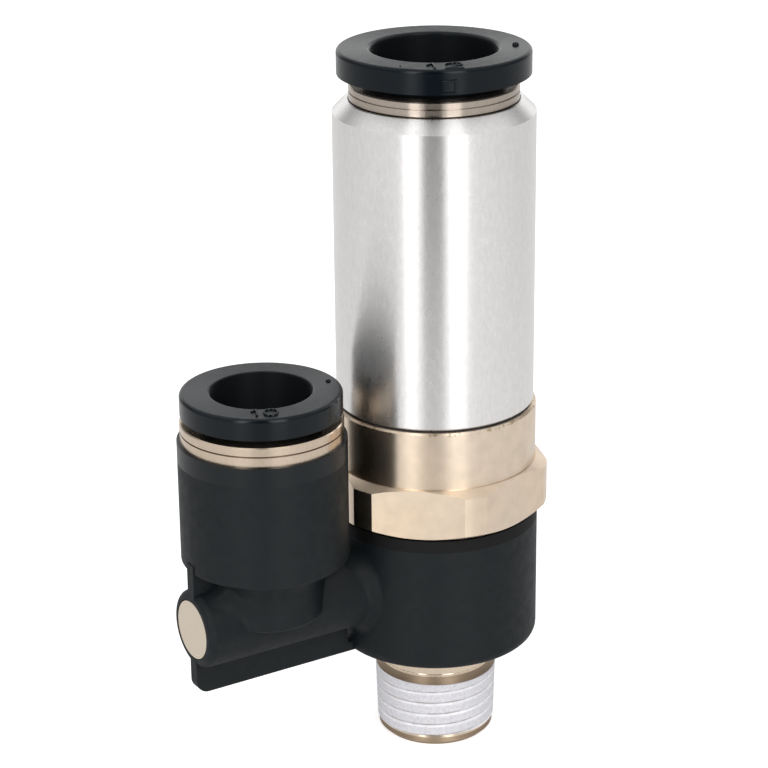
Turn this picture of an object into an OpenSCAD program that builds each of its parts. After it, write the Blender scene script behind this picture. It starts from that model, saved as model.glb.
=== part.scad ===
// In-line vacuum ejector with a multi-hole ring nozzle.
// Compressed air enters the upright socket of a swivelling side elbow, passes the hollow stem and
// leaves the ring nozzle upwards, which draws air in through the threaded port at the foot. Both
// streams leave through the exhaust socket at the top of the barrel.
// +Z is the axis of the ejector. The origin is the centre of the thread's lower end, and the elbow's
// arm points along -X.

/* [Threaded port] */
// Major diameter of the taper thread at its gauge plane
thread_d = 13.157; // [12.6:0.001:13.6]
// Distance from the thread's end to its gauge plane
thread_gauge = 6.0; // [4:0.1:8]
// Length of the thread
thread_len = 7.65; // [6:0.05:10]
// Bare length below the sealing coat
coat_start = 1.3; // [0.6:0.1:2.5]
// Chamfer on the thread's end
tip_chamfer = 0.5; // [0.2:0.1:0.9]
// Bore of the vacuum port
port_bore_d = 8.0; // [7:0.1:8.3]
// Height of the groove above the thread
undercut_h = 2.6; // [2:0.05:3]
// Diameter of the groove above the thread
undercut_d = 12.2; // [11.4:0.1:12.6]
// Diameter of the shoulder that carries the elbow
shoulder_d = 13.2; // [12.8:0.1:14]
// Height of the shoulder
shoulder_h = 1.2; // [1:0.05:2.5]
// Height of the spigot inside the stem
spigot_h = 3.5; // [2.5:0.1:5]

/* [Hex body] */
// Width across the flats
hex_af = 22; // [21.8:0.1:23]
// Diameter to which the corners are turned
hex_turned_d = 24.1; // [23.6:0.1:24.8]
// Height of the hexagon
hex_h = 5.55; // [4:0.05:8]
// Angle of one flat about the axis
hex_turn = 48; // [0:1:60]
// How far the plain sleeve above the hexagon stands out past the barrel
sleeve_step = 0.28; // [0.1:0.01:0.6]
// Height of the plain sleeve
sleeve_h = 6.3; // [5:0.1:9]
// Edge break on the sleeve and the barrel's foot
edge_break = 0.2; // [0.1:0.05:0.3]
// Diameter of the lower stem
stem_d = 12.0; // [11.6:0.1:12.4]
// Diameter of the upper stem
stem_upper_d = 14.8; // [14.4:0.1:15.2]
// Bore of the stem, the outside of the feed annulus
stem_bore_d = 10.0; // [9.6:0.1:10.2]
// Height of the spigot that holds the barrel
barrel_spigot_h = 5.65; // [4:0.05:7]
// Number of feed holes round the stem
feed_holes = 6; // [4:1:8]
// Diameter of a feed hole
feed_hole_d = 2.8; // [2:0.1:3.2]

/* [Nozzle and diffuser] */
// Outside diameter of the nozzle ring
nozzle_d = 14.0; // [13:0.1:15]
// Height of the nozzle ring
nozzle_h = 6.0; // [5:0.1:7]
// Outside diameter of the suction tube
suction_tube_d = 8.4; // [8.3:0.05:8.8]
// Bore of the suction tube
suction_bore_d = 7.0; // [6.4:0.1:7.2]
// Number of nozzle holes
nozzle_holes = 8; // [6:1:12]
// Diameter of a nozzle hole
nozzle_hole_d = 0.9; // [0.6:0.05:1.2]
// Throat of the diffuser
throat_d = 8.4; // [7.4:0.1:9]
// Outlet of the diffuser
diffuser_out_d = 9.8; // [9:0.1:10.6]
// Height of the feed chamber below the nozzle ring
feed_chamber_h = 3.0; // [2:0.1:4]

/* [Barrel] */
// Wall round the exhaust socket
barrel_wall = 2.3; // [2:0.05:3]
// Wall round the spigot
barrel_foot_wall = 1.5; // [1:0.1:2]
// Length
barrel_len = 32.65; // [30:0.05:60]
// Chamfer at the top
barrel_chamfer = 1.3; // [0.6:0.1:1.4]
// Gasket between the sleeve and the barrel
gasket_t = 0.2; // [0.1:0.05:0.5]

/* [Elbow housing] */
// Outside diameter of the swivelling ring
ring_d = 22.1; // [21:0.1:22.4]
// Height of the swivelling ring
ring_h = 15.2; // [14.6:0.1:18]
// Round on the ring's lower edge
ring_round = 1.2; // [0.4:0.1:2]
// Height of the arm's axis above the ring's foot
arm_rise = 7.65; // [7.3:0.05:7.9]
// Diameter of the arm
arm_d = 8.4; // [7.8:0.1:9.4]
// Bore of the arm
arm_bore_d = 6.0; // [5.4:0.1:6.1]
// Length of the arm past the socket's axis
arm_past = 8.9; // [7.4:0.1:12]
// Gap between the socket and the turned corners of the hexagon
socket_gap = 0.25; // [0.25:0.05:3]
// Wall round the supply socket
socket_wall = 1.8; // [1.4:0.05:2.4]
// Height of the socket
socket_h = 13.25; // [13:0.05:18]
// Wall of the neck below the socket
neck_wall = 0.9; // [0.8:0.05:1.8]
// Height of the neck above the arm's axis
neck_h = 6.4; // [5.2:0.1:8]
// Thickness of the web in the centre plane
web_t = 1.3; // [1:0.1:2]
// Depth of the web below the arm's axis
web_drop = 7.25; // [5:0.05:7.3]
// Round on the web's lower corner
web_round = 1.4; // [0.5:0.1:2]
// Diameter of the plug in the arm's end
plug_d = 6.22; // [6.2:0.02:6.6]
// Length of the plug
plug_len = 3.4; // [2.8:0.1:4]

/* [Push-in sockets] */
// Tube of the exhaust socket
exhaust_tube_d = 12.0; // [11.6:0.1:12.2]
// Tube of the supply socket
supply_tube_d = 10.0; // [9.6:0.1:10.2]
// Radial room round the tube in the exhaust release ring
exhaust_release_room = 0.45; // [0.2:0.05:0.6]
// Radial room round the tube in the supply release ring
supply_release_room = 0.25; // [0.15:0.05:0.4]
// Radial room round a tube in its socket
tube_room = 0.1; // [0.05:0.01:0.2]
// Depth of the exhaust socket's plain bore
exhaust_seat = 8.0; // [5:0.1:12]
// Depth of the supply socket's plain bore
supply_seat = 4.9; // [4:0.1:5.2]
// How far the exhaust flange stands out from its sleeve
exhaust_flange_w = 2.85; // [2:0.05:3.4]
// How far the supply flange stands out from its sleeve
supply_flange_w = 2.43; // [2:0.01:2.8]
// Height of the exhaust flange
exhaust_flange_h = 2.54; // [1.6:0.02:3.5]
// Height of the supply flange
supply_flange_h = 2.28; // [1.6:0.02:3.5]
// Travel of the exhaust release ring
exhaust_travel = 0.9; // [0.6:0.05:1.2]
// Travel of the supply release ring
supply_travel = 0.6; // [0.4:0.05:0.8]
// Height of the exhaust guide ring above the barrel
exhaust_guide_rise = 1.63; // [1:0.01:3]
// Height of the supply guide ring above the socket
supply_guide_rise = 2.1; // [1:0.1:3]
// Lip of the barrel round the exhaust guide ring
barrel_lip = 0.32; // [0.2:0.02:0.5]
// Step from the supply socket's outside to its guide ring
socket_lip = 0.35; // [0.2:0.05:0.6]
// Wall of a release ring's sleeve
release_wall = 0.7; // [0.5:0.05:0.8]
// Wall of a guide ring
guide_wall = 0.8; // [0.6:0.05:1]
// Number of claws in a lock ring
claw_count = 12; // [8:1:16]
// Sheet of a lock ring
claw_t = 0.3; // [0.2:0.05:0.4]
// Height of the exhaust tube seal
exhaust_seal_h = 3.8; // [3:0.1:5]
// Height of the supply tube seal
supply_seal_h = 2.8; // [2.4:0.1:3]

/* [Hidden] */
$fn = 96;

// Clearances
touch = 0.02;            // a seal against the wall it wipes
run_r = 0.08;            // radial running clearance of the swivel
run_z = 0.1;             // axial running clearance of the swivel
slide_r = 0.2;           // radial clearance of a release ring in its guide
stop_gap = 0.15;         // what is left above a guide ring when a release ring is pressed home
bite = 0.1;              // how far claws and lips reach inside the tube's surface
cut = 1;                 // overshoot of a cut past a free face

// Push-in sockets, measured down from the mouth
exhaust_skirt = 5.0;     // depth of the guide rings' skirts
supply_skirt = 4.85;
claw_seat = 1.7;         // room for the lock claws below the skirt
claw_ledge = 0.4;        // ledge that carries their rim
claw_rim = 0.5;          // how far the rim reaches inside the skirt
slot_w = 0.8;            // slot between two claws
seal_collar = 0.8;       // wall between a tube seal's lip and its collar
guide_sink = 0.4;        // recess for the exhaust guide ring's rim
rim_gap = 0.1;           // open line round that rim
bead_h = 0.8;            // bead that keeps a release ring in its guide
bead_out = 0.45;         // how far it stands out past the guide's bore
bead_room = 0.1;         // clearance round it
foot_gap = 0.15;         // what is left above the claws when a release ring is pressed home
exhaust_lip = 0.5;       // round on a release ring's bore
supply_lip = 0.25;
flange_round = 0.4;      // round on its flange
line_w = 0.16;           // turned line round a guide ring

// Radii of a push-in socket, from its tube and from the bore of its release ring
function bore_r(tube_d) = tube_d / 2 + tube_room;
function release_r(bore_d) = bore_d / 2 + release_wall;
function guide_bore_r(bore_d) = release_r(bore_d) + slide_r;
function relief_r(bore_d) = guide_bore_r(bore_d) + bead_out;
function skirt_r(bore_d) = relief_r(bore_d) + guide_wall / 2;
function seal_r(bore_d) = skirt_r(bore_d) - claw_ledge;
function claw_tip_r(tube_d) = tube_d / 2 - bite;
function bead_top(skirt, travel) = travel + foot_gap + bead_h - skirt;

// Diameters that follow from the tubes
exhaust_release_bore_d = exhaust_tube_d + 2 * exhaust_release_room;
supply_release_bore_d = supply_tube_d + 2 * supply_release_room;
barrel_d = 2 * (skirt_r(exhaust_release_bore_d) + barrel_wall);
barrel_spigot_d = barrel_d - 2 * barrel_foot_wall;
sleeve_d = barrel_d + 2 * sleeve_step;
exhaust_guide_d = barrel_d - 2 * (barrel_chamfer + barrel_lip + rim_gap);
socket_d = 2 * (skirt_r(supply_release_bore_d) + socket_wall);
supply_guide_d = socket_d - 2 * socket_lip;
neck_d = 2 * (bore_r(supply_tube_d) + neck_wall);

// Heights along the axis
shoulder_z = thread_len + undercut_h;
stem_z = shoulder_z + shoulder_h;
ring_z = stem_z + run_z;
arm_z = ring_z + arm_rise;
hex_z = ring_z + ring_h + 1.5 * run_z;
sleeve_z = hex_z + hex_h;
barrel_z = sleeve_z + sleeve_h + gasket_t;
barrel_top = barrel_z + barrel_len;
spigot_top = sleeve_z + sleeve_h + barrel_spigot_h;

// Swivel: chamber in the ring and the two seals
lower_land = 3.45;       // height of the ring's lower bore
upper_land = 3.75;       // height of the stem's upper land
seal_wire = 0.9;         // section of the round seals
plug_wire = 0.7;
groove_room = 0.1;       // how much taller a groove is than its seal
chamber_floor = ring_z + lower_land;
stem_step = ring_z + ring_h - upper_land;
lower_seal_z = ring_z + lower_land / 2;
upper_seal_z = stem_step + upper_land / 2;

// Hexagon
hex_face_step = 0.1;     // how far inside the flats its turned faces end

// Elbow
web_root = 1;            // how far the web reaches into the ring's wall
web_reach = ring_d / 2 - web_root;
web_slot = 0.6;          // notch between the web and the ring, under the arm
web_foot = 1;            // height of the web below the notch
web_blend = 3;           // radius between the arm and the web above it
blend_y = web_t / 2 + web_blend;
blend_z = sqrt(pow(arm_d / 2 + web_blend, 2) - blend_y * blend_y);
blend_foot = arm_d / (arm_d + 2 * web_blend);
socket_offset = hex_turned_d / 2 + socket_gap + socket_d / 2;
arm_reach = socket_offset + arm_past;
arm_round = 0.8;         // edge radius on the arm's end
neck_round = 0.5;        // edge radius under the neck
socket_round = 0.25;     // edge radius under the upright socket
plug_gap = 0.1;          // open line round the plug's outer end
plug_gap_depth = 0.4;
plug_seal_at = arm_reach - plug_len / 2;

// Threaded stud
coat_t = 0.35;           // the sealing coat, down to the bottom of the thread's grooves
bare_step = 0.12;        // the bare end of the thread lies this far below the coat
groove_ramp = 0.5;       // height of the cone that leads up to the shoulder
coat_fade = 0.5;         // the coat thins out over this length at the thread's upper end
groove_foot_h = 1.1;     // height of the hollow round from the undercut down to the thread
coat_top = thread_len - coat_fade;
function thread_r(z) = thread_d / 2 + (z - thread_gauge) / 32;
function core_r(z) = thread_r(z) - coat_t;
function bare_r(z) = thread_r(z) - bare_step;
groove_w = bare_r(thread_len) - undercut_d / 2;
groove_round = (groove_w * groove_w + groove_foot_h * groove_foot_h) / (2 * groove_w);

// Nozzle and diffuser
feed_wall = 1.1;         // floor between the hexagon's foot and the feed chamber
nozzle_ledge = 0.6;      // ledge that carries the nozzle ring
jet_wall = 0.6;          // wall between a jet and the suction bore
mouth_wall = 1.0;        // wall at the diffuser's mouth
mouth_gap = 0.2;         // between the nozzle ring and the diffuser
inlet_h = 3.8;           // height of the diffuser's inlet cone
throat_h = 5.0;
feed_top = hex_z + feed_wall;
chamber_r = nozzle_d / 2 - nozzle_ledge;
diffuser_r = (barrel_spigot_d + nozzle_d) / 4;
nozzle_z = feed_top + feed_chamber_h;
nozzle_top = nozzle_z + nozzle_h;
nozzle_seal_z = nozzle_z + nozzle_h / 2;
nozzle_in_r = (nozzle_d + suction_tube_d) / 4;
nozzle_out_r = suction_bore_d / 2 + nozzle_hole_d / 2 + jet_wall;
diffuser_foot = nozzle_top + mouth_gap;
throat_z = diffuser_foot + inlet_h;

// Heights of the sockets
exhaust_mouth = barrel_top;
supply_mouth = arm_z + neck_h + socket_h;
exhaust_bore_z = exhaust_mouth - exhaust_skirt - claw_seat - exhaust_seal_h - exhaust_seat;
supply_bore_z = supply_mouth - supply_skirt - claw_seat - supply_seal_h - supply_seat;

// ---- shared shapes ----

// A ring of square section between two radii and two heights.
module tube(r_in, r_out, z0, z1) {
    rotate_extrude() translate([r_in, z0]) square([r_out - r_in, z1 - z0]);
}

// A round-section seal about the axis, and the groove cut for it.
module o_ring(r_in, r_out, z) {
    rotate_extrude() translate([(r_in + r_out) / 2, z]) circle(d = r_out - r_in);
}
module o_groove(r_in, r_out, z, wire) {
    tube(r_in, r_out, z - wire / 2 - groove_room, z + wire / 2 + groove_room);
}

// Square section with its upper outer corner rounded, for a turned or moulded rim.
module rounded_section(r_in, r_out, h, round) {
    translate([r_in, 0]) square([r_out - r_in - round, h]);
    translate([r_in, 0]) square([r_out - r_in, h - round]);
    translate([r_out - round, h - round]) circle(round);
}

// ---- push-in socket pieces, each with z = 0 at the mouth of its socket ----

module guide_ring(bore_d, rim_d, rise, sink, skirt, travel) {
    rotate_extrude() difference() {
        union() {
            translate([guide_bore_r(bore_d), -sink])
                square([rim_d / 2 - guide_bore_r(bore_d), rise + sink]);
            translate([guide_bore_r(bore_d), -skirt])
                square([skirt_r(bore_d) - guide_bore_r(bore_d), skirt]);
        }
        // room for the release ring's bead
        translate([0, -skirt - cut])
            square([relief_r(bore_d), bead_top(skirt, travel) + bead_room + skirt + cut]);
        // turned line round the rim
        translate([rim_d / 2 - line_w, rise / 2]) square([cut, line_w]);
        // broken top corner
        translate([rim_d / 2, rise]) rotate(45) square(line_w, center = true);
    }
}

module release_ring(bore_d, flange_w, flange_h, lip, rise, skirt, travel) {
    in_r = bore_d / 2;
    out_r = release_r(bore_d);
    bead_r = relief_r(bore_d) - bead_room;
    flange_z = rise + travel + stop_gap;
    top = flange_z + flange_h;
    foot_z = bead_top(skirt, travel) - bead_h;
    rotate_extrude() difference() {
        union() {
            translate([0, flange_z]) rounded_section(in_r, out_r + flange_w, flange_h, flange_round);
            translate([in_r, foot_z]) square([out_r - in_r, flange_z - foot_z]);
            polygon([[in_r, foot_z], [out_r, foot_z], [bead_r, foot_z + bead_h / 2],
                     [bead_r, foot_z + bead_h], [in_r, foot_z + bead_h]]);
        }
        // rounded lip of the bore
        difference() {
            translate([in_r - cut, top - lip]) square([lip + cut, lip + cut]);
            translate([in_r + lip, top - lip]) circle(lip);
        }
    }
}

// A flat rim with claws that slope inwards and down to the tube's surface.
module lock_claws(tube_d, bore_d, skirt) {
    rim_r = relief_r(bore_d) - claw_rim;
    tip_r = claw_tip_r(tube_d);
    drop = rim_r - tip_r;
    translate([0, 0, -skirt - claw_t]) difference() {
        rotate_extrude() polygon([
            [skirt_r(bore_d), 0], [skirt_r(bore_d), claw_t], [rim_r, claw_t],
            [tip_r, claw_t - drop], [tip_r, -drop], [rim_r, 0]]);
        for (i = [0 : claw_count - 1]) rotate(i * 360 / claw_count)
            translate([0, -slot_w / 2, -drop - cut]) cube([rim_r, slot_w, drop + 2 * cut]);
    }
}

// Elastic sleeve: a collar in its pocket, with a lip that closes on the tube.
module tube_seal(tube_d, bore_d, skirt, h) {
    lip_r = claw_tip_r(tube_d);
    collar_r = lip_r + seal_collar;
    translate([0, 0, -skirt - claw_seat - h]) rotate_extrude() polygon([
        [seal_r(bore_d), 0], [seal_r(bore_d), h], [collar_r, h], [lip_r, 0.65 * h],
        [lip_r, 0.5 * h], [collar_r, 0.35 * h], [collar_r, 0]]);
}

// What a socket takes out of the body round it, down to the tube's stop.
module socket_cavity(tube_d, bore_d, skirt, seal_h, seat) {
    seal_foot = -skirt - claw_seat - seal_h;
    translate([0, 0, -skirt - claw_t]) cylinder(r = skirt_r(bore_d), h = skirt + claw_t + cut);
    translate([0, 0, seal_foot]) cylinder(r = seal_r(bore_d), h = claw_seat + seal_h);
    translate([0, 0, seal_foot - seat]) cylinder(r = bore_r(tube_d), h = seat + cut);
}

// ---- foot: threaded stud and its sealing coat ----

module threaded_stud() color([0.80, 0.76, 0.70]) rotate_extrude() difference() {
    union() {
        polygon([
            [0, 0], [bare_r(0) - tip_chamfer, 0], [bare_r(tip_chamfer), tip_chamfer],
            [core_r(coat_start), coat_start], [core_r(coat_top), coat_top],
            [bare_r(thread_len), thread_len], [undercut_d / 2, thread_len + groove_foot_h],
            [undercut_d / 2, shoulder_z - groove_ramp], [shoulder_d / 2, shoulder_z],
            [shoulder_d / 2, stem_z], [0, stem_z]]);
        square([stem_bore_d / 2, stem_z + spigot_h]);
    }
    translate([0, -cut]) square([port_bore_d / 2, stem_z + cut]);
    translate([0, stem_z]) square([suction_tube_d / 2, spigot_h + cut]);
    translate([undercut_d / 2 + groove_round, thread_len + groove_foot_h]) circle(groove_round);
}

module thread_sealant() color([0.93, 0.93, 0.95]) rotate_extrude() polygon([
    [core_r(coat_start), coat_start], [thread_r(coat_start), coat_start],
    [thread_r(thread_len), thread_len], [bare_r(thread_len), thread_len],
    [core_r(coat_top), coat_top]]);

// ---- brass body: stem, hexagon, sleeve and spigot ----

module chamfered_hexagon() {
    face_r = hex_af / 2 - hex_face_step;
    chamfer_h = (hex_turned_d / 2 - face_r) * tan(30);
    rotate(hex_turn + 30) intersection() {
        cylinder(d = hex_af / cos(30), h = hex_h, $fn = 6);
        rotate_extrude() polygon([
            [0, 0], [face_r, 0], [hex_turned_d / 2, chamfer_h],
            [hex_turned_d / 2, hex_h - chamfer_h], [face_r, hex_h], [0, hex_h]]);
    }
}

module hex_body() color([0.82, 0.77, 0.70]) difference() {
    union() {
        translate([0, 0, stem_z]) cylinder(d = stem_d, h = stem_step - stem_z);
        translate([0, 0, stem_step]) cylinder(d = stem_upper_d, h = hex_z - stem_step);
        translate([0, 0, hex_z]) chamfered_hexagon();
        translate([0, 0, sleeve_z]) cylinder(d = sleeve_d, h = sleeve_h - edge_break);
        translate([0, 0, sleeve_z + sleeve_h - edge_break])
            cylinder(d1 = sleeve_d, d2 = sleeve_d - 2 * edge_break, h = edge_break);
        translate([0, 0, sleeve_z + sleeve_h - edge_break])
            cylinder(d = barrel_spigot_d, h = barrel_spigot_h + edge_break);
    }
    translate([0, 0, stem_z - cut]) cylinder(d = stem_bore_d, h = feed_top - stem_z + 2 * cut);
    translate([0, 0, feed_top]) cylinder(r = chamber_r, h = nozzle_z - feed_top + touch);
    translate([0, 0, nozzle_z]) cylinder(d = nozzle_d, h = spigot_top - nozzle_z + cut);
    for (i = [0 : feed_holes - 1]) rotate(i * 360 / feed_holes)
        translate([0, 0, arm_z]) rotate([0, 90, 0]) cylinder(d = feed_hole_d, h = stem_d);
    o_groove(stem_upper_d / 2 - seal_wire, stem_upper_d, upper_seal_z, seal_wire);
}

// ---- ring nozzle, its seal and the diffuser ----

module nozzle_ring() color([0.85, 0.72, 0.45]) difference() {
    union() {
        translate([0, 0, stem_z]) cylinder(d = suction_tube_d, h = nozzle_top - stem_z);
        translate([0, 0, nozzle_z]) cylinder(d = nozzle_d, h = nozzle_h);
    }
    translate([0, 0, stem_z - cut]) cylinder(d = suction_bore_d, h = nozzle_top - stem_z + 2 * cut);
    o_groove(nozzle_d / 2 - seal_wire, nozzle_d, nozzle_seal_z, seal_wire);
    // the jets lean inwards as they rise
    for (i = [0 : nozzle_holes - 1]) rotate(i * 360 / nozzle_holes)
        translate([nozzle_in_r, 0, nozzle_z])
            rotate([0, -atan((nozzle_in_r - nozzle_out_r) / nozzle_h), 0])
                translate([0, 0, -cut]) cylinder(d = nozzle_hole_d, h = nozzle_h + 2 * cut);
}

module nozzle_seal() color([0.10, 0.10, 0.11])
    o_ring(nozzle_d / 2 - seal_wire, nozzle_d / 2, nozzle_seal_z);

module diffuser() color([0.75, 0.76, 0.78]) rotate_extrude() polygon([
    [nozzle_d / 2 - mouth_wall, diffuser_foot], [nozzle_d / 2, diffuser_foot],
    [nozzle_d / 2, spigot_top], [diffuser_r, spigot_top], [diffuser_r, exhaust_bore_z],
    [diffuser_out_d / 2, exhaust_bore_z], [throat_d / 2, throat_z + throat_h],
    [throat_d / 2, throat_z]]);

// ---- barrel and its gasket ----

module barrel() color([0.80, 0.81, 0.83]) difference() {
    translate([0, 0, barrel_z]) rotate_extrude() polygon([
        [0, 0], [barrel_d / 2 - edge_break, 0], [barrel_d / 2, edge_break],
        [barrel_d / 2, barrel_len - barrel_chamfer],
        [barrel_d / 2 - barrel_chamfer, barrel_len], [0, barrel_len]]);
    translate([0, 0, barrel_z - cut]) cylinder(d = barrel_spigot_d, h = spigot_top - barrel_z + cut);
    translate([0, 0, spigot_top - cut]) cylinder(r = diffuser_r, h = exhaust_bore_z - spigot_top + cut);
    translate([0, 0, exhaust_mouth]) {
        socket_cavity(exhaust_tube_d, exhaust_release_bore_d, exhaust_skirt, exhaust_seal_h,
                      exhaust_seat);
        translate([0, 0, -guide_sink]) cylinder(r = exhaust_guide_d / 2 + rim_gap, h = guide_sink + cut);
    }
}

module joint_gasket() color([0.06, 0.06, 0.07])
    tube(barrel_spigot_d / 2, barrel_d / 2 - edge_break, barrel_z - gasket_t, barrel_z);

// ---- exhaust socket, in the barrel's top ----

module exhaust_guide_ring() color([0.82, 0.77, 0.70]) translate([0, 0, exhaust_mouth])
    guide_ring(exhaust_release_bore_d, exhaust_guide_d, exhaust_guide_rise, guide_sink,
               exhaust_skirt, exhaust_travel);

module exhaust_lock_claws() color([0.70, 0.71, 0.73]) translate([0, 0, exhaust_mouth])
    lock_claws(exhaust_tube_d, exhaust_release_bore_d, exhaust_skirt);

module exhaust_tube_seal() color([0.12, 0.12, 0.13]) translate([0, 0, exhaust_mouth])
    tube_seal(exhaust_tube_d, exhaust_release_bore_d, exhaust_skirt, exhaust_seal_h);

module exhaust_release_ring() color([0.10, 0.10, 0.11]) translate([0, 0, exhaust_mouth])
    release_ring(exhaust_release_bore_d, exhaust_flange_w, exhaust_flange_h, exhaust_lip,
                 exhaust_guide_rise, exhaust_skirt, exhaust_travel);

// ---- elbow: moulded housing, plug and seals ----

// Upright round body whose lower edge is rounded.
module foot_rounded(d, h, round) {
    r = d / 2;
    rotate_extrude() {
        translate([0, round]) square([r, h - round]);
        square([r - round, h]);
        translate([r - round, round]) circle(round);
    }
}

module along_arm() translate([0, 0, arm_z]) rotate([0, -90, 0]) children();
module at_socket(z) translate([-socket_offset, 0, z]) children();

// Plate in the centre plane that stiffens the arm. Its lower outer corner is rounded, and a
// notch under the arm parts it from the ring.
module web() rotate([90, 0, 0]) linear_extrude(web_t, center = true) {
    translate([-arm_reach, arm_z]) square([arm_reach - socket_offset, neck_h + cut]);
    difference() {
        union() {
            translate([-arm_reach, arm_z - web_drop + web_round])
                square([arm_reach - web_reach, web_drop - web_round]);
            translate([-arm_reach + web_round, arm_z - web_drop])
                square([arm_reach - web_reach - web_round, web_drop]);
            translate([-arm_reach + web_round, arm_z - web_drop + web_round]) circle(web_round);
        }
        translate([-ring_d / 2 - web_slot, arm_z - web_drop + web_foot])
            square([web_slot + web_root + cut, web_drop]);
    }
}

// Hollow blend from the arm's crown up to both faces of the web.
module web_blends() along_arm() translate([0, 0, socket_offset])
    linear_extrude(arm_past - arm_round) difference() {
    polygon([
        [0, -blend_y * blend_foot], [blend_z * blend_foot, -blend_y * blend_foot],
        [blend_z, -blend_y], [blend_z, blend_y],
        [blend_z * blend_foot, blend_y * blend_foot], [0, blend_y * blend_foot]]);
    for (side = [-1, 1]) translate([blend_z, side * blend_y]) circle(web_blend);
}

module elbow_housing() color([0.17, 0.18, 0.19]) difference() {
    union() {
        translate([0, 0, ring_z]) foot_rounded(ring_d, ring_h, ring_round);
        along_arm() rotate_extrude() rounded_section(0, arm_d / 2, arm_reach, arm_round);
        at_socket(arm_z) foot_rounded(neck_d, neck_h + cut, neck_round);
        at_socket(arm_z + neck_h) foot_rounded(socket_d, socket_h, socket_round);
        web();
        web_blends();
    }
    // swivel bore, feed chamber and lower seal groove
    translate([0, 0, ring_z - cut]) cylinder(d = stem_d + 2 * run_r, h = ring_h);
    translate([0, 0, chamber_floor])
        cylinder(d = stem_upper_d + 2 * run_r, h = ring_z + ring_h - chamber_floor + cut);
    o_groove(stem_d / 2, stem_d / 2 + run_r + seal_wire, lower_seal_z, seal_wire);
    // air passage and the plug's seat
    along_arm() translate([0, 0, stem_d / 2 + run_r]) cylinder(d = arm_bore_d, h = arm_reach);
    along_arm() translate([0, 0, arm_reach - plug_len]) cylinder(d = plug_d, h = plug_len + cut);
    along_arm() translate([0, 0, arm_reach - plug_gap_depth])
        cylinder(d = plug_d + 2 * plug_gap, h = plug_gap_depth + cut);
    at_socket(arm_z) cylinder(d = arm_bore_d, h = supply_bore_z - arm_z + cut);
    at_socket(supply_mouth)
        socket_cavity(supply_tube_d, supply_release_bore_d, supply_skirt, supply_seal_h, supply_seat);
}

module swivel_seal_upper() color([0.10, 0.10, 0.11])
    o_ring(stem_upper_d / 2 - seal_wire, stem_upper_d / 2 + run_r - touch, upper_seal_z);

module swivel_seal_lower() color([0.10, 0.10, 0.11])
    o_ring(stem_d / 2 + touch, stem_d / 2 + run_r + seal_wire, lower_seal_z);

module end_plug() color([0.84, 0.80, 0.74]) along_arm() difference() {
    translate([0, 0, arm_reach - plug_len]) cylinder(d = plug_d, h = plug_len);
    o_groove(plug_d / 2 - plug_wire, plug_d, plug_seal_at, plug_wire);
}

module end_plug_seal() color([0.10, 0.10, 0.11]) along_arm()
    o_ring(plug_d / 2 - plug_wire, plug_d / 2, plug_seal_at);

// ---- supply socket, in the elbow ----

module supply_guide_ring() color([0.82, 0.77, 0.70]) at_socket(supply_mouth)
    guide_ring(supply_release_bore_d, supply_guide_d, supply_guide_rise, 0, supply_skirt,
               supply_travel);

module supply_lock_claws() color([0.70, 0.71, 0.73]) at_socket(supply_mouth)
    lock_claws(supply_tube_d, supply_release_bore_d, supply_skirt);

module supply_tube_seal() color([0.12, 0.12, 0.13]) at_socket(supply_mouth)
    tube_seal(supply_tube_d, supply_release_bore_d, supply_skirt, supply_seal_h);

module supply_release_ring() color([0.10, 0.10, 0.11]) at_socket(supply_mouth)
    release_ring(supply_release_bore_d, supply_flange_w, supply_flange_h, supply_lip,
                 supply_guide_rise, supply_skirt, supply_travel);

threaded_stud();
thread_sealant();
hex_body();
barrel();
joint_gasket();
nozzle_ring();
nozzle_seal();
diffuser();
swivel_seal_upper();
exhaust_guide_ring();
exhaust_lock_claws();
exhaust_tube_seal();
exhaust_release_ring();
elbow_housing();
swivel_seal_lower();
end_plug();
end_plug_seal();
supply_guide_ring();
supply_lock_claws();
supply_tube_seal();
supply_release_ring();
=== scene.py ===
"""Looks of an in-line vacuum ejector: turned aluminium, nickel-plated brass and dark mouldings."""
import math

import bmesh
import bpy
from mathutils import Matrix, Vector


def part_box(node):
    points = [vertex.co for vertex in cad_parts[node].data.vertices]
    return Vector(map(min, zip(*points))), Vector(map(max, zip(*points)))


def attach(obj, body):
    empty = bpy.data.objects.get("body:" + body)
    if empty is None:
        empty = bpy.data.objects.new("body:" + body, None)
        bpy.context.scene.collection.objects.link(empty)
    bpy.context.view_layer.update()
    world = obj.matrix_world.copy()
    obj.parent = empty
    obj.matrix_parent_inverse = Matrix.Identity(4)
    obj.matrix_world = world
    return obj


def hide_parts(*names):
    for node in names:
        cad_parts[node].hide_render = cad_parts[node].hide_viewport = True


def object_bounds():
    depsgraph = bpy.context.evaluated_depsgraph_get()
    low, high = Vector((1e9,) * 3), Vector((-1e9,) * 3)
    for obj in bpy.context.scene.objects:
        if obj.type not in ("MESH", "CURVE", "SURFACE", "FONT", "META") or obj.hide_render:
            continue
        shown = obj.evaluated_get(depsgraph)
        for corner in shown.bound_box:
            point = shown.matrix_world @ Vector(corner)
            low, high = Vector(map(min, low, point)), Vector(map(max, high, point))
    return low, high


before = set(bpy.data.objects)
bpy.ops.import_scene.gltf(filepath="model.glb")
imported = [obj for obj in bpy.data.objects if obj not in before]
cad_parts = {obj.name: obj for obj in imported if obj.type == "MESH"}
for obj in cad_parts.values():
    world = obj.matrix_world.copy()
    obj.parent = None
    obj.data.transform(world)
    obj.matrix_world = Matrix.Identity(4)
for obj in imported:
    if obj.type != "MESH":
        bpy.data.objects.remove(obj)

cad_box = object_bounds()
MM = 0.001

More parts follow.
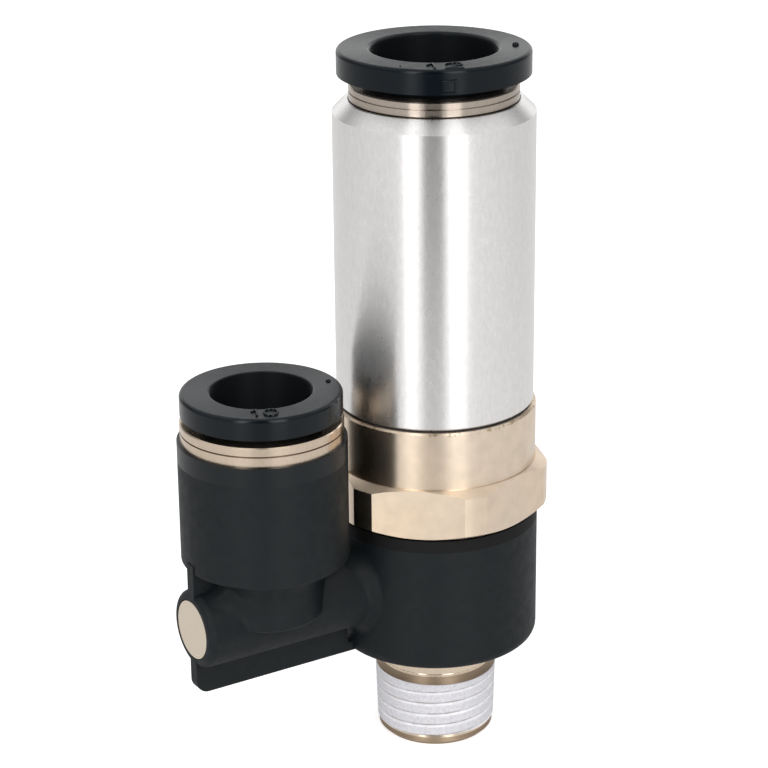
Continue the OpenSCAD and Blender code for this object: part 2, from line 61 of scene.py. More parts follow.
# Camera: placed round the ejector's axis, and turned from the line to that axis. The lens is in mm
CAM_AZIMUTH = math.radians(237.141)
CAM_DISTANCE = 251.68 * MM
CAM_HEIGHT = 136.38 * MM
CAM_PITCH = math.radians(20.907)
CAM_YAW = math.radians(-1.2307)
CAM_ROLL = math.radians(-0.5663)
CAM_LENS = 118.52

# Thread: R1/4, right-handed, under a sealing coat that leaves narrow grooves between its turns
THREAD_PITCH = 1.337 * MM
THREAD_PHASE = 0.315
TAPER = 1 / 32
COAT_T = 0.35 * MM
COAT_END_T = 0.12 * MM
COAT_FADE = 0.5 * MM
GROOVE_DEPTH = 0.28 * MM
GROOVE_ABOVE = 0.16 * MM
GROOVE_BELOW = 0.34 * MM

# Stud: the rounded edge lies EDGE_ABOVE the sealing coat
UNDERCUT_R = 6.1 * MM
EDGE_R = 0.19 * MM
EDGE_OUT = 0.04 * MM
EDGE_ABOVE = 0.95 * MM

# Release rings, with azimuths in degrees from +X
EXHAUST_BORE_R = 6.45 * MM
SUPPLY_BORE_R = 5.25 * MM
EXHAUST_FLANGE_H = 2.54 * MM
SUPPLY_FLANGE_H = 2.28 * MM
GATE_AZIMUTH = 245.3
GATE_HALF = 0.72 * MM
GATE_TALL = 1.25 * MM
GATE_BELOW = 2.35 * MM
GATE_RISE = 0.13 * MM
DIGIT_RISE = 0.17 * MM
STROKE = 0.28 * MM
# A moulded dot's outline: distance from its middle and height, both as shares of its radius
DOT_OUTLINE = ((1.0, -0.1), (1.0, 0.35), (0.85, 0.62), (0.5, 0.8), (0.15, 0.86))

# Elbow housing, as in part.scad
ARM_R = 4.2 * MM
NECK_R = 6.0 * MM
NECK_H = 6.4 * MM
# Its fillets. They stop ARM_END_GAP short of the arm's end, and the one at the swivel ring widens
# by RING_FILLET_TOP towards the arm's top
ARM_END_GAP = 0.85 * MM
NECK_TOP_ROUND = 2.6 * MM
RING_FILLET = 1.3 * MM
RING_FILLET_TOP = 0.9 * MM
# Those between arm and neck: side along X, full radius, how fast it fades down the arm's sides
NECK_FILLETS = ((-1, 3.6 * MM, 0.8), (1, 0.6 * MM, 1.3))


# ---- helpers ----

class Shader:
    """A material's node tree with a Principled shader, and short ways to add nodes to it."""

    def __init__(self, name, base, metallic, roughness, specular=0.5):
        self.mat = bpy.data.materials.new(name)
        self.mat.use_nodes = True
        self.tree = self.mat.node_tree
        self.bsdf = self.tree.nodes["Principled BSDF"]
        self.coords = self.node("ShaderNodeTexCoord").outputs["Object"]
        self.put("Base Color", (*base, 1))
        self.put("Metallic", metallic)
        self.put("Roughness", roughness)
        self.put("Specular IOR Level", specular)

    def node(self, kind, **sockets):
        """A new node, with sockets set by name. An underscore stands for a space."""
        new = self.tree.nodes.new(kind)
        for name, value in sockets.items():
            new.inputs[name.replace("_", " ")].default_value = value
        return new

    def put(self, socket, value):
        self.bsdf.inputs[socket].default_value = value

    def link(self, out, into):
        self.tree.links.new(out, into)

    def feed(self, value, into):
        """Sets a socket to a number, or links it to another socket."""
        if isinstance(value, (int, float)):
            into.default_value = value
        else:
            self.link(value, into)

    def noise(self, scale, detail=3.0, stretch=(1, 1, 1)):
        """Noise in the row frame, scale in features per metre, stretched per axis."""
        mapping = self.node("ShaderNodeMapping", Scale=stretch)
        self.link(self.coords, mapping.inputs["Vector"])
        noise = self.node("ShaderNodeTexNoise", Scale=scale, Detail=detail)
        self.link(mapping.outputs["Vector"], noise.inputs["Vector"])
        return noise.outputs["Fac"]

    def distance(self, centre, axes=(1, 1, 0)):
        """How far a point is from centre, along the axes that are 1."""
        flat = self.node("ShaderNodeVectorMath")
        flat.operation = "MULTIPLY"
        flat.inputs[1].default_value = axes
        self.link(self.coords, flat.inputs[0])
        far = self.node("ShaderNodeVectorMath")
        far.operation = "DISTANCE"
        far.inputs[1].default_value = centre
        self.link(flat.outputs["Vector"], far.inputs[0])
        return far.outputs["Value"]

    def remap(self, value, from_low, from_high, to_low, to_high):
        ramp = self.node("ShaderNodeMapRange", From_Min=from_low, From_Max=from_high,
                         To_Min=to_low, To_Max=to_high)
        self.link(value, ramp.inputs["Value"])
        return ramp.outputs["Result"]

    def mix_colours(self, factor, first, second):
        """first where factor is 0, second where it is 1. Each is a colour or a socket."""
        mix = self.tree.nodes.new("ShaderNodeMix")
        mix.data_type = "RGBA"
        self.feed(factor, mix.inputs["Factor"])
        for value, into in ((first, mix.inputs["A"]), (second, mix.inputs["B"])):
            if isinstance(value, tuple):
                into.default_value = (*value, 1)
            else:
                self.link(value, into)
        return mix.outputs["Result"]

    def bands(self, rows):
        """1 inside any of the bands, each (low z, high z, farthest distance from the axis), else 0.

        A distance of None sets no limit.
        """
        soft_z, soft_far = 0.03 * MM, 0.1 * MM
        split = self.node("ShaderNodeSeparateXYZ")
        self.link(self.coords, split.inputs[0])
        total = 0
        for low, high, reach in rows:
            band = self.product(self.remap(split.outputs["Z"], low, low + soft_z, 0, 1),
                                self.remap(split.outputs["Z"], high, high + soft_z, 1, 0))
            if reach:
                near = self.remap(self.distance((0, 0, 0)), reach, reach + soft_far, 1, 0)
                band = self.product(band, near)
            total = self.maths("MAXIMUM", total, band)
        return total

    def maths(self, operation, first, second):
        node = self.tree.nodes.new("ShaderNodeMath")
        node.operation = operation
        self.feed(first, node.inputs[0])
        self.feed(second, node.inputs[1])
        return node.outputs[0]

    def product(self, *values):
        total = values[0]
        for value in values[1:]:
            total = self.maths("MULTIPLY", total, value)
        return total

    def mix_value(self, factor, first, second):
        """first where factor is 0, second where it is 1."""
        mix = self.tree.nodes.new("ShaderNodeMix")
        self.link(factor, mix.inputs["Factor"])
        self.feed(first, mix.inputs["A"])
        self.feed(second, mix.inputs["B"])
        return mix.outputs["Result"]

    def spread_upright(self, amount):
        """Draws reflections on upright walls out up and down, by 0 to 1."""
        self.put("Anisotropic", amount)
        self.put("Anisotropic Rotation", 0.25)
        tangent = self.node("ShaderNodeTangent")
        tangent.direction_type = "RADIAL"
        tangent.axis = "Z"
        self.link(tangent.outputs["Tangent"], self.bsdf.inputs["Tangent"])

    def bump(self, height, distance, strength=1.0):
        """Adds a bump of that height in metres on top of any bump already there."""
        bump = self.node("ShaderNodeBump", Strength=strength, Distance=distance)
        normal = self.bsdf.inputs["Normal"]
        if normal.is_linked:
            self.link(normal.links[0].from_socket, bump.inputs["Normal"])
        self.link(height, bump.inputs["Height"])
        self.link(bump.outputs["Normal"], normal)


# ---- materials ----

def scaled(colour, factors):
    """A colour times one factor, or times one for each channel."""
    if isinstance(factors, (int, float)):
        factors = (factors,) * 3
    return tuple(min(1, c * f) for c, f in zip(colour, factors))


def turned_metal(name, base, roughness, spread, lines=0, line_depth=0.0, sparkle=0.0, painted_shade_bands=(),
                 shade_factor=(0.55, 0.51, 0.47), worn_at=None, cloudy=0.0):
    """Metal turned about the ejector's axis: fine rings that spread reflections up and down.

    lines is how many rings there are to a metre, sparkle the depth of a fine grain, and cloudy the
    strength of soft clouds in the plating. stained lists bands of painted shade, (low z, high z)
    each, rough 0.55, colour darkened by stain. worn_at is the height of an edge with chipped
    plating.
    """
    s = Shader(name, base, 1.0, roughness)
    s.spread_upright(spread)
    if line_depth:
        s.bump(s.noise(lines, 2.0, (0.06, 0.06, 1)), line_depth)
    grain = s.noise(3600, 2.0, (1, 1, 0.25))
    s.link(s.remap(grain, 0.3, 0.7, roughness * 0.93, roughness * 1.07), s.bsdf.inputs["Roughness"])
    if cloudy:
        clouds = s.remap(s.noise(650, 4.0), 0.35, 0.65, 0, 1)
        tint = s.remap(s.noise(70, 2.0), 0.35, 0.65, 0, 1)
        plating = s.mix_colours(clouds, scaled(base, 1 - cloudy), scaled(base, 1 + cloudy))
        shift = s.mix_colours(tint, (0.985, 1.0, 1.045), (1.015, 0.995, 0.965))
        colour = s.mix_colours(1, plating, shift)
        colour.node.blend_type = "MULTIPLY"
    else:
        streaks = s.remap(s.noise(2600, 3.0, (1, 1, 0.4)), 0.35, 0.65, 0, 1)
        colour = s.mix_colours(streaks, scaled(base, 0.965), scaled(base, 1.025))
    if worn_at:
        edge = s.bands([(worn_at - 0.35 * MM, worn_at - 0.02 * MM, None)])
        chips = s.product(edge, s.remap(s.noise(2200, 4.0), 0.55, 0.6, 0, 0.8))
        colour = s.mix_colours(chips, colour, (0.44, 0.33, 0.19))
    if sparkle:
        s.bump(s.noise(7000, 3.0), sparkle)
    # Painted shade: in these bands a darker colour stands in for shade and dim reflections
    if painted_shade_bands:
        total = s.bands((low, high, None) for low, high in painted_shade_bands)
        colour = s.mix_colours(total, colour, scaled(base, shade_factor))
        rough = s.bsdf.inputs["Roughness"].links[0].from_socket
        s.link(s.mix_value(total, rough, 0.55), s.bsdf.inputs["Roughness"])
    s.link(colour, s.bsdf.inputs["Base Color"])
    return s.mat


def moulded_resin(name, base, roughness, specular, grain_depth, spread, dull_and_shaded=(), polished=(),
                  bore=None):
    """Dark moulded plastic with a fine grain. spread draws reflections out up and down.

    dull lists rougher bands with a darker colour as painted shade, and polished smoother bands of
    the mould, each as (low z, high z, farthest distance from the ejector's axis). bore is the place
    along
    X and the radius of an upright bore with a rough wall in painted shade, and the height below
    which the outside is rough and in painted shade too.
    """
    s = Shader(name, base, 0.0, roughness, specular)
    s.spread_upright(spread)
    fine = s.noise(6000, 2.0)
    rough = s.remap(s.noise(900, 3.0), 0.35, 0.65, roughness * 0.93, roughness * 1.07)
    colour = s.mix_colours(s.noise(700, 4.0), scaled(base, 0.9), scaled(base, 1.12))
    # The darker colour in these bands is painted shade under the hexagon; the band is rougher too
    if dull_and_shaded:
        total = s.bands(dull_and_shaded)
        rough = s.mix_value(total, rough, roughness * 1.2)
        colour = s.mix_colours(total, colour, scaled(base, (0.8, 0.5, 0.45)))
    if polished:
        total = s.bands(polished)
        rough = s.mix_value(total, rough, roughness * 0.6)
        fine = s.product(fine, s.mix_value(total, 1.0, 0.15))
    if bore:
        place, radius, flange_z = bore
        # Bore wall and outside below the flange: rougher, and darkened as painted shade in the bore
        # and under the flange
        matt_and_shade = s.remap(s.distance((place, 0, 0)), radius + 0.04 * MM, radius + 0.12 * MM, 1, 0)
        matt_and_shade = s.maths("MAXIMUM", matt_and_shade, s.bands([(0, flange_z - 0.05 * MM, None)]))
        rough = s.mix_value(matt_and_shade, rough, 0.75)
        colour = s.mix_colours(matt_and_shade, colour, scaled(base, 0.4))
    s.link(rough, s.bsdf.inputs["Roughness"])
    s.link(colour, s.bsdf.inputs["Base Color"])
    s.bump(fine, grain_depth)
    return s.mat


def faced_metal(name, base, roughness, centre):
    """Metal faced off in a lathe about the line along X through centre: faint rings round it."""
    s = Shader(name, base, 1.0, roughness)
    rings = s.node("ShaderNodeTexNoise", Scale=5000, Detail=3)
    rings.noise_dimensions = "1D"
    s.link(s.distance(centre, (0, 1, 1)), rings.inputs["W"])
    s.bump(rings.outputs["Fac"], 0.006 * MM)
    share = s.remap(rings.outputs["Fac"], 0.3, 0.7, 0, 1)
    colour = s.mix_colours(share, scaled(base, 0.93), scaled(base, 1.04))
    s.link(colour, s.bsdf.inputs["Base Color"])
    return s.mat


def coated_thread(name):
    """White sealing coat, not glossy: painted highlight above each groove, painted shade and less
    coat in it.
    """
    s = Shader(name, (0.66, 0.65, 0.685), 0.0, 0.6, specular=0.3)
    pits = s.remap(s.noise(3500, 5.0), 0.3, 0.7, 0, 1)
    colour = s.mix_colours(pits, (0.60, 0.59, 0.63), (0.74, 0.73, 0.76))
    split = s.node("ShaderNodeSeparateXYZ")
    s.link(s.coords, split.inputs[0])
    angle = s.maths("ARCTAN2", split.outputs["Y"], split.outputs["X"])
    turn = s.maths("SUBTRACT", s.product(split.outputs["Z"], 1 / THREAD_PITCH),
                   s.product(angle, 1 / (2 * math.pi)))
    turn = s.maths("FRACT", s.maths("ADD", turn, 0.5 - THREAD_PHASE), 0)
    # How far up from the groove's bottom a point lies, in turns from -0.5 to 0.5
    off = s.maths("SUBTRACT", turn, 0.5)
    # A painted highlight on the coat next to each turn's groove
    painted_ridge_highlight = s.product(s.remap(off, -0.22, -0.14, 0, 1), s.remap(off, -0.07, -0.02, 1, 0))
    painted_ridge_highlight = s.product(painted_ridge_highlight, s.remap(s.noise(900, 3.0), 0.35, 0.6, 0.45, 1))
    colour = s.mix_colours(painted_ridge_highlight, colour, (0.90, 0.89, 0.91))
    # In the groove the coat over the metal is thin, and its darkness is painted shade
    thin_coat_and_shade = s.product(s.remap(off, 0.11, 0.2, 1, 0), s.remap(off, -0.04, 0.0, 0, 1),
                     s.remap(s.noise(700, 3.0), 0.4, 0.6, 0.12, 0.8))
    s.link(s.mix_colours(thin_coat_and_shade, colour, (0.26, 0.20, 0.17)), s.bsdf.inputs["Base Color"])
    s.bump(s.noise(2500, 4.0), 0.03 * MM)
    return s.mat


def rubber(name):
    s = Shader(name, (0.012, 0.012, 0.014), 0.0, 0.55, specular=0.3)
    s.link(s.remap(s.noise(1200), 0.3, 0.7, 0.48, 0.62), s.bsdf.inputs["Roughness"])
    s.bump(s.noise(4000), 0.006 * MM)
    return s.mat


def middle(box, axis):
    """The middle of a box along an axis."""
    return (box[0][axis] + box[1][axis]) / 2


SLEEVE_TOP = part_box("joint_gasket")[0][2]
BARREL_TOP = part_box("barrel")[1][2]
TURNED_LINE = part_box("supply_guide_ring")[1][2] - 1.05 * MM
EXHAUST_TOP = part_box("exhaust_release_ring")[1][2]
SUPPLY_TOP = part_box("supply_release_ring")[1][2]
SUPPLY_X = middle(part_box("supply_release_ring"), 0)
ARM_Z = middle(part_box("end_plug"), 2)
NICKEL = (0.775, 0.64, 0.495)
RELEASE = {"base": (0.001, 0.0038, 0.0062), "roughness": 0.26, "grain_depth": 0.001 * MM,
           "spread": 0.88}
# Bands of painted shade, each (low z, high z): on the stud and on the two guide rings
UNDERCUT_BAND = (7.6 * MM, 8.42 * MM)
FOOT_BAND = (-0.1 * MM, 0.95 * MM)
BARREL_TOP_BAND = (BARREL_TOP - 0.1 * MM, BARREL_TOP + 0.13 * MM)
LINE_BAND = (TURNED_LINE - 0.01 * MM, TURNED_LINE + 0.15 * MM)
# Bands on the housing, with the farthest distance from the axis: rim rougher with painted shade,
# socket polished
RIM_BAND = (25.4 * MM, 26.8 * MM, 11.5 * MM)
SOCKET_BAND = (36.77 * MM, 38.9 * MM, None)

aluminium = turned_metal("aluminium", (0.84, 0.825, 0.815), roughness=0.29, spread=0.9)
nickel = turned_metal("nickel_brass", NICKEL, roughness=0.30, spread=0.85, lines=7000,
                      line_depth=0.0012 * MM, worn_at=SLEEVE_TOP, cloudy=0.045)
# The stud, with painted shade in its undercut and foot bands
stud_nickel = turned_metal("stud_nickel", NICKEL, roughness=0.2, spread=0.7, lines=9000,
                           line_depth=0.001 * MM, painted_shade_bands=[UNDERCUT_BAND, FOOT_BAND])
bright_nickel = turned_metal("bright_nickel", NICKEL, roughness=0.16, spread=0.3, lines=9000,
                             line_depth=0.0003 * MM)
# Exhaust guide ring: darker nickel as painted shade under the flange, painted shadow above the
# barrel
guide_nickel_shaded = turned_metal("guide_nickel_shaded", (0.47, 0.405, 0.345), roughness=0.25, spread=1.0,
                            lines=9000, line_depth=0.0003 * MM, painted_shade_bands=[BARREL_TOP_BAND],
                            shade_factor=(0.12, 0.12, 0.12))
# Supply guide ring: darker nickel as painted shade under the flange, painted shade in its turned
# line
grained_nickel_shaded = turned_metal("grained_nickel_shaded", (0.62, 0.51, 0.40), roughness=0.24, spread=0.7,
                              lines=9000, line_depth=0.001 * MM, sparkle=0.004 * MM,
                              painted_shade_bands=[LINE_BAND], shade_factor=(0.34, 0.28, 0.24))
brass = turned_metal("bare_brass", (0.78, 0.58, 0.28), roughness=0.28, spread=0.6, lines=7000,
                     line_depth=0.002 * MM)
spring = turned_metal("spring_steel", (0.55, 0.55, 0.56), roughness=0.3, spread=0.3, lines=5000,
                      line_depth=0.002 * MM)
# Housing: its rim band below the hexagon is rougher, with painted shade
housing_resin = moulded_resin("housing_resin", (0.0052, 0.0078, 0.0094), roughness=0.6,
                              specular=0.26, grain_depth=0.004 * MM, spread=0.6, dull_and_shaded=[RIM_BAND],
                              polished=[SOCKET_BAND])
release_resin = moulded_resin("release_resin", specular=0.2, **RELEASE)
exhaust_release_resin = moulded_resin("exhaust_release_resin", specular=0.2, **RELEASE,
                                      bore=(0, EXHAUST_BORE_R, EXHAUST_TOP - EXHAUST_FLANGE_H))
supply_release_resin = moulded_resin("supply_release_resin", specular=0.25, **RELEASE,
                                     bore=(SUPPLY_X, SUPPLY_BORE_R, SUPPLY_TOP - SUPPLY_FLANGE_H))
plug_face = faced_metal("plug_face", (0.70, 0.61, 0.49), roughness=0.3, centre=(0, 0, ARM_Z))
seal_rubber = rubber("rubber")
coat = coated_thread("sealing_coat")

FINISHES = {
    "threaded_stud": stud_nickel,
    "thread_sealant": coat,
    "hex_body": nickel,
    "barrel": aluminium,
    "joint_gasket": seal_rubber,
    "nozzle_ring": brass,
    "nozzle_seal": seal_rubber,
    "diffuser": aluminium,
    "swivel_seal_upper": seal_rubber,
    "exhaust_guide_ring": guide_nickel_shaded,
    "exhaust_lock_claws": spring,
    "exhaust_tube_seal": seal_rubber,
    "exhaust_release_ring": exhaust_release_resin,
    "elbow_housing": housing_resin,
    "swivel_seal_lower": seal_rubber,
    "end_plug": plug_face,
    "end_plug_seal": seal_rubber,
    "supply_guide_ring": grained_nickel_shaded,
    "supply_lock_claws": spring,
    "supply_tube_seal": seal_rubber,
    "supply_release_ring": supply_release_resin,
}
for node, finish in FINISHES.items():
    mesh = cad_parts[node].data
    mesh.materials.clear()
    mesh.materials.append(finish)


# ---- pieces that the solids leave plain ----

def new_piece(name, verts, faces, material, body, smooth=True):
    """A mesh that is a piece of the ejector and rides on one of its bodies."""
    mesh = bpy.data.meshes.new(name)
    mesh.from_pydata([tuple(v) for v in verts], [], faces)
    mesh.validate()
    mesh.update()
    bm = bmesh.new()
    bm.from_mesh(mesh)
    bmesh.ops.recalc_face_normals(bm, faces=bm.faces)
    bm.to_mesh(mesh)
    bm.free()
    for face in mesh.polygons:
        face.use_smooth = smooth
    mesh.materials.append(material)
    obj = bpy.data.objects.new(name, mesh)
    bpy.context.scene.collection.objects.link(obj)
    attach(obj, body)
    return obj


def grid_faces(rows, columns, base=0):
    """Quads of a grid of rows by columns, closed round the columns."""
    faces = []
    for j in range(rows - 1):
        a, b = base + j * columns, base + (j + 1) * columns
        for i in range(columns):
            k = (i + 1) % columns
            faces.append((a + i, a + k, b + k, b + i))
    return faces


def seam_faces(rows, columns, base=0):
    """Quads that join the last row of such a grid to its first."""
    last = base + (rows - 1) * columns
    return [(last + i, last + (i + 1) % columns, base + (i + 1) % columns, base + i)
            for i in range(columns)]


def coated_turns():
    """The sealing coat with the thread's turns under it: a closed sleeve with a helical groove."""
    low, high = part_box("thread_sealant")
    z0, z1, top_r = low[2], high[2], high[0]
    rows, columns = 170, 240
    skin = 0.04 * MM
    verts = []
    for j in range(rows):
        z = z0 + (z1 - z0) * j / (rows - 1)
        crest = top_r - (z1 - z) * TAPER
        for i in range(columns):
            a = 2 * math.pi * i / columns
            turn = (z / THREAD_PITCH - a / (2 * math.pi) - THREAD_PHASE + 0.5) % 1 - 0.5
            d = abs(turn) * THREAD_PITCH / (GROOVE_ABOVE if turn > 0 else GROOVE_BELOW)
            groove = (1 - d) ** 1.2 if d < 1 else 0
            # The coat fills the groove unevenly, and sinks a little midway between two grooves
            uneven = 0.85 + 0.15 * math.sin(3 * a + 1.3) * math.sin(2.1 * z / THREAD_PITCH + a)
            sag = 0.025 * MM * (2 * turn) ** 2
            room = COAT_END_T + (COAT_T - COAT_END_T) * min(1, (z1 - z) / COAT_FADE) - skin
            r = crest - min(room, GROOVE_DEPTH * uneven) * groove - sag
            verts.append((r * math.cos(a), r * math.sin(a), z))
    faces = grid_faces(rows, columns)
    foot, head = 0, (rows - 1) * columns
    inner = len(verts)
    for z, depth in ((z0, COAT_T), (z1 - COAT_FADE, COAT_T), (z1, COAT_END_T)):
        r = top_r - (z1 - z) * TAPER - depth
        for i in range(columns):
            a = 2 * math.pi * i / columns
            verts.append((r * math.cos(a), r * math.sin(a), z))
    faces += grid_faces(3, columns, inner)
    for i in range(columns):
        k = (i + 1) % columns
        faces.append((foot + k, foot + i, inner + i, inner + k))
        faces.append((head + i, head + k, inner + 2 * columns + k, inner + 2 * columns + i))
    piece = new_piece("thread_turns", verts, faces, coat, "ejector")
    piece.data.set_sharp_from_angle(angle=math.radians(50))
    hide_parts("thread_sealant")


def fillet(centres):
    """A strip of a hollow round in a corner: its points, and how many there are to a section.

    Each of centres is (middle of the round, the two walls' directions from it, radius).
    """
    steps = 7
    # The strip lies sink into the walls. Its back is past the corner by a tenth of the radius
    sink, past = 0.012 * MM, 1.1
    verts = []
    for centre, first, second, radius in centres:
        angle = first.angle(second)
        for k in range(steps + 1):
            t = k / steps
            n = (first * math.sin((1 - t) * angle) + second * math.sin(t * angle)) / math.sin(angle)
            verts.append(centre + n * (radius + sink))
        verts.append(centre + (first + second) * radius * past)
    return verts, steps + 2


def arm_fillets():
    """Hollow rounds where the arm meets the swivel ring and the neck, and above the neck."""
    ring_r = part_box("elbow_housing")[1][0]
    socket_x = middle(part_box("supply_guide_ring"), 0)
    reach = socket_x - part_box("elbow_housing")[0][0] - ARM_END_GAP
    count, neck_count = 96, 64

    def corner(a, radius, x, centre_x):
        """Where a round of that radius lies between the arm, at angle a, and an upright wall."""
        y = (ARM_R + radius) * math.sin(a)
        x = math.copysign(math.sqrt(x * x - y * y), x)
        place = Vector((centre_x + x, y, ARM_Z + (ARM_R + radius) * math.cos(a)))
        to_arm = Vector((0, -math.sin(a), -math.cos(a)))
        return place, to_arm, Vector((-x, -y, 0)).normalized(), radius

    centres = []
    for i in range(count):
        a = 2 * math.pi * i / count
        radius = RING_FILLET + RING_FILLET_TOP * math.cos(a / 2) ** 2
        centres.append(corner(a, radius, -(ring_r + radius), 0))
    strips = [(centres, True)]
    for side, full, fade in NECK_FILLETS:
        centres = []
        for i in range(neck_count + 1):
            a = math.radians(-88 + 176 * i / neck_count)
            radius = full * (0.05 + 0.95 * math.cos(a) ** fade)
            while (NECK_R + radius) ** 2 - ((ARM_R + radius) * math.sin(a)) ** 2 > reach ** 2:
                radius *= 0.97
            centres.append(corner(a, radius, side * (NECK_R + radius), socket_x))
        strips.append((centres, False))
    centres = []
    foot = Vector((socket_x, 0, ARM_Z + NECK_H - NECK_TOP_ROUND))
    up = Vector((0, 0, 1))
    for i in range(count):
        a = 2 * math.pi * i / count
        out = Vector((math.cos(a), math.sin(a), 0))
        centres.append((foot + out * (NECK_R + NECK_TOP_ROUND), -out, up, NECK_TOP_ROUND))
    strips.append((centres, True))
    verts, faces = [], []
    for centres, closed in strips:
        points, section = fillet(centres)
        base = len(verts)
        rows = len(centres)
        verts += points
        faces += grid_faces(rows, section, base)
        if closed:
            faces += seam_faces(rows, section, base)
        else:
            faces.append(tuple(base + i for i in range(section)))
            faces.append(tuple(base + (rows - 1) * section + i for i in range(section)))
    piece = new_piece("elbow_fillets", verts, faces, housing_resin, "supply_elbow")
    piece.data.set_sharp_from_angle(angle=math.radians(40))


def raised_stroke(points, width, height, closed=False):
    """A raised line along 2-D points, with mitred corners and walls that lean in a little."""
    count = len(points)
    pts = [Vector(p) for p in points]
    verts, faces = [], []
    sunk, lean = 0.05 * MM, 0.5 * height
    for half, z in ((width / 2, -sunk), (width / 2, 0), (width / 2 - lean, height)):
        for i, p in enumerate(pts):
            before = pts[i - 1] if i > 0 or closed else None
            after = pts[(i + 1) % count] if i < count - 1 or closed else None
            one = (p - before).normalized() if before is not None else (after - p).normalized()
            two = (after - p).normalized() if after is not None else one
            along = (one + two).normalized()
            across = Vector((-along.y, along.x)) / max(0.35, along.dot(one))
            end = Vector((0, 0))
            if not closed and i == 0:
                end = along * (width / 2 - half)
            if not closed and i == count - 1:
                end = -along * (width / 2 - half)
            for side in (1, -1):
                q = p + across * half * side + end
                verts.append((q.x, q.y, z))
    # Each of the three levels has two points to each point of the line
    level = 2 * count
    segments = count if closed else count - 1
    for i in range(segments):
        k = (i + 1) % count
        for a in (0, level):
            for side in (0, 1):
                one, two = a + 2 * i + side, a + 2 * k + side
                faces.append((one, two, level + two, level + one))
        one, two = 2 * level + 2 * i, 2 * level + 2 * k
        faces.append((one, two, two + 1, one + 1))
        faces.append((2 * i, 2 * i + 1, 2 * k + 1, 2 * k))
    if not closed:
        for i in (0, count - 1):
            for a in (0, level):
                faces.append((a + 2 * i, a + 2 * i + 1, a + level + 2 * i + 1, a + level + 2 * i))
    return verts, faces


def oval(width, height, power, count=48):
    """Points of a rounded oval that stands on the line, with its middle at 0 along the line."""
    points = []
    for i in range(count):
        a = 2 * math.pi * i / count
        c, d = math.cos(a), math.sin(a)
        points.append((width / 2 * math.copysign(abs(c) ** power, c),
                       height / 2 * (1 + math.copysign(abs(d) ** power, d))))
    return points


# Each digit of height h is a list of points, and whether they make a closed line

def digit_one(h):
    return [(-0.30 * h, 0.70 * h), (0.02 * h, h), (0.02 * h, 0)], False


def digit_two(h):
    half, rise = 0.40 * h, 0.288 * h
    arc = [(half * math.cos(math.radians(v)), h - rise + rise * math.sin(math.radians(v)))
           for v in (170, 145, 120, 90, 60, 35, 10, -15, -40)]
    return arc + [(-half, 0), (half * 1.08, 0)], False


def digit_zero(h):
    return oval(0.84 * h, h, 0.8), True


def mark_face(name, body, top, centre_x, azimuth, base_r, h, digits, dots):
    """Raised tube size and mould marks on top of a release ring, read from outside the ring.

    azimuth and base_r place the foot of the digits, of height h. digits lists (digit, place along
    the line), and dots (distance from the ring's axis, azimuth, radius).
    """
    a = math.radians(azimuth)
    out = Vector((math.cos(a), math.sin(a)))
    along = Vector((-out.y, out.x))
    verts, faces = [], []
    for digit, shift in digits:
        points, closed = digit(h)
        points = [(x + shift, y) for x, y in points]
        stroke_verts, stroke_faces = raised_stroke(points, STROKE, DIGIT_RISE, closed)
        base = len(verts)
        for x, y, z in stroke_verts:
            p = out * (base_r - y) + along * x
            verts.append((centre_x + p.x, p.y, top + z))
        faces += [tuple(base + i for i in face) for face in stroke_faces]
    sides = 20
    for radius, dot_azimuth, size in dots:
        b = math.radians(dot_azimuth)
        dot_x, dot_y = centre_x + radius * math.cos(b), radius * math.sin(b)
        base = len(verts)
        for scale, rise in DOT_OUTLINE:
            for i in range(sides):
                t = 2 * math.pi * i / sides
                verts.append((dot_x + size * scale * math.cos(t),
                              dot_y + size * scale * math.sin(t), top + rise * size))
        faces += grid_faces(len(DOT_OUTLINE), sides, base)
        last = base + (len(DOT_OUTLINE) - 1) * sides
        faces.append(tuple(base + i for i in range(sides)))
        faces.append(tuple(last + i for i in range(sides)))
    piece = new_piece(name, verts, faces, release_resin, body)
    piece.data.set_sharp_from_angle(angle=math.radians(35))


def stud_edge():
    """The rounded edge above the thread's undercut."""
    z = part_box("thread_sealant")[1][2] + EDGE_ABOVE
    rows, columns = 160, 12
    verts = []
    for i in range(rows):
        a = 2 * math.pi * i / rows
        for j in range(columns):
            b = 2 * math.pi * j / columns
            r = UNDERCUT_R + EDGE_OUT - EDGE_R + EDGE_R * math.cos(b)
            verts.append((r * math.cos(a), r * math.sin(a), z + EDGE_R * math.sin(b)))
    faces = grid_faces(rows, columns) + seam_faces(rows, columns)
    new_piece("stud_edge", verts, faces, bright_nickel, "ejector")


def gate_mark():
    """A small square frame left by the mould on the side of the exhaust release ring."""
    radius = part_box("exhaust_release_ring")[1][0]
    path = [(-GATE_HALF, 0), (GATE_HALF, 0), (GATE_HALF, GATE_TALL), (-GATE_HALF, GATE_TALL)]
    verts, faces = raised_stroke(path, STROKE, GATE_RISE, True)
    wrapped = []
    for x, y, rise in verts:
        a = math.radians(GATE_AZIMUTH) + x / radius
        wrapped.append(((radius + rise) * math.cos(a), (radius + rise) * math.sin(a),
                        EXHAUST_TOP - GATE_BELOW + y))
    new_piece("exhaust_gate_mark", wrapped, faces, release_resin, "exhaust_release",
              smooth=False)


coated_turns()
stud_edge()
gate_mark()
arm_fillets()
mark_face("exhaust_size_mark", "exhaust_release", top=EXHAUST_TOP, centre_x=0, azimuth=244.4,
          base_r=9.45 * MM, h=2.0 * MM, digits=[(digit_one, -1.15 * MM), (digit_two, 0.95 * MM)],
          dots=[(8.3 * MM, 331, 0.34 * MM), (8.8 * MM, 215, 0.09 * MM)])
mark_face("supply_size_mark", "supply_release", top=SUPPLY_TOP, centre_x=SUPPLY_X, azimuth=244,
          base_r=7.35 * MM, h=1.6 * MM, digits=[(digit_one, -0.85 * MM), (digit_zero, 0.62 * MM)],
          dots=[(7.2 * MM, 347, 0.26 * MM)])


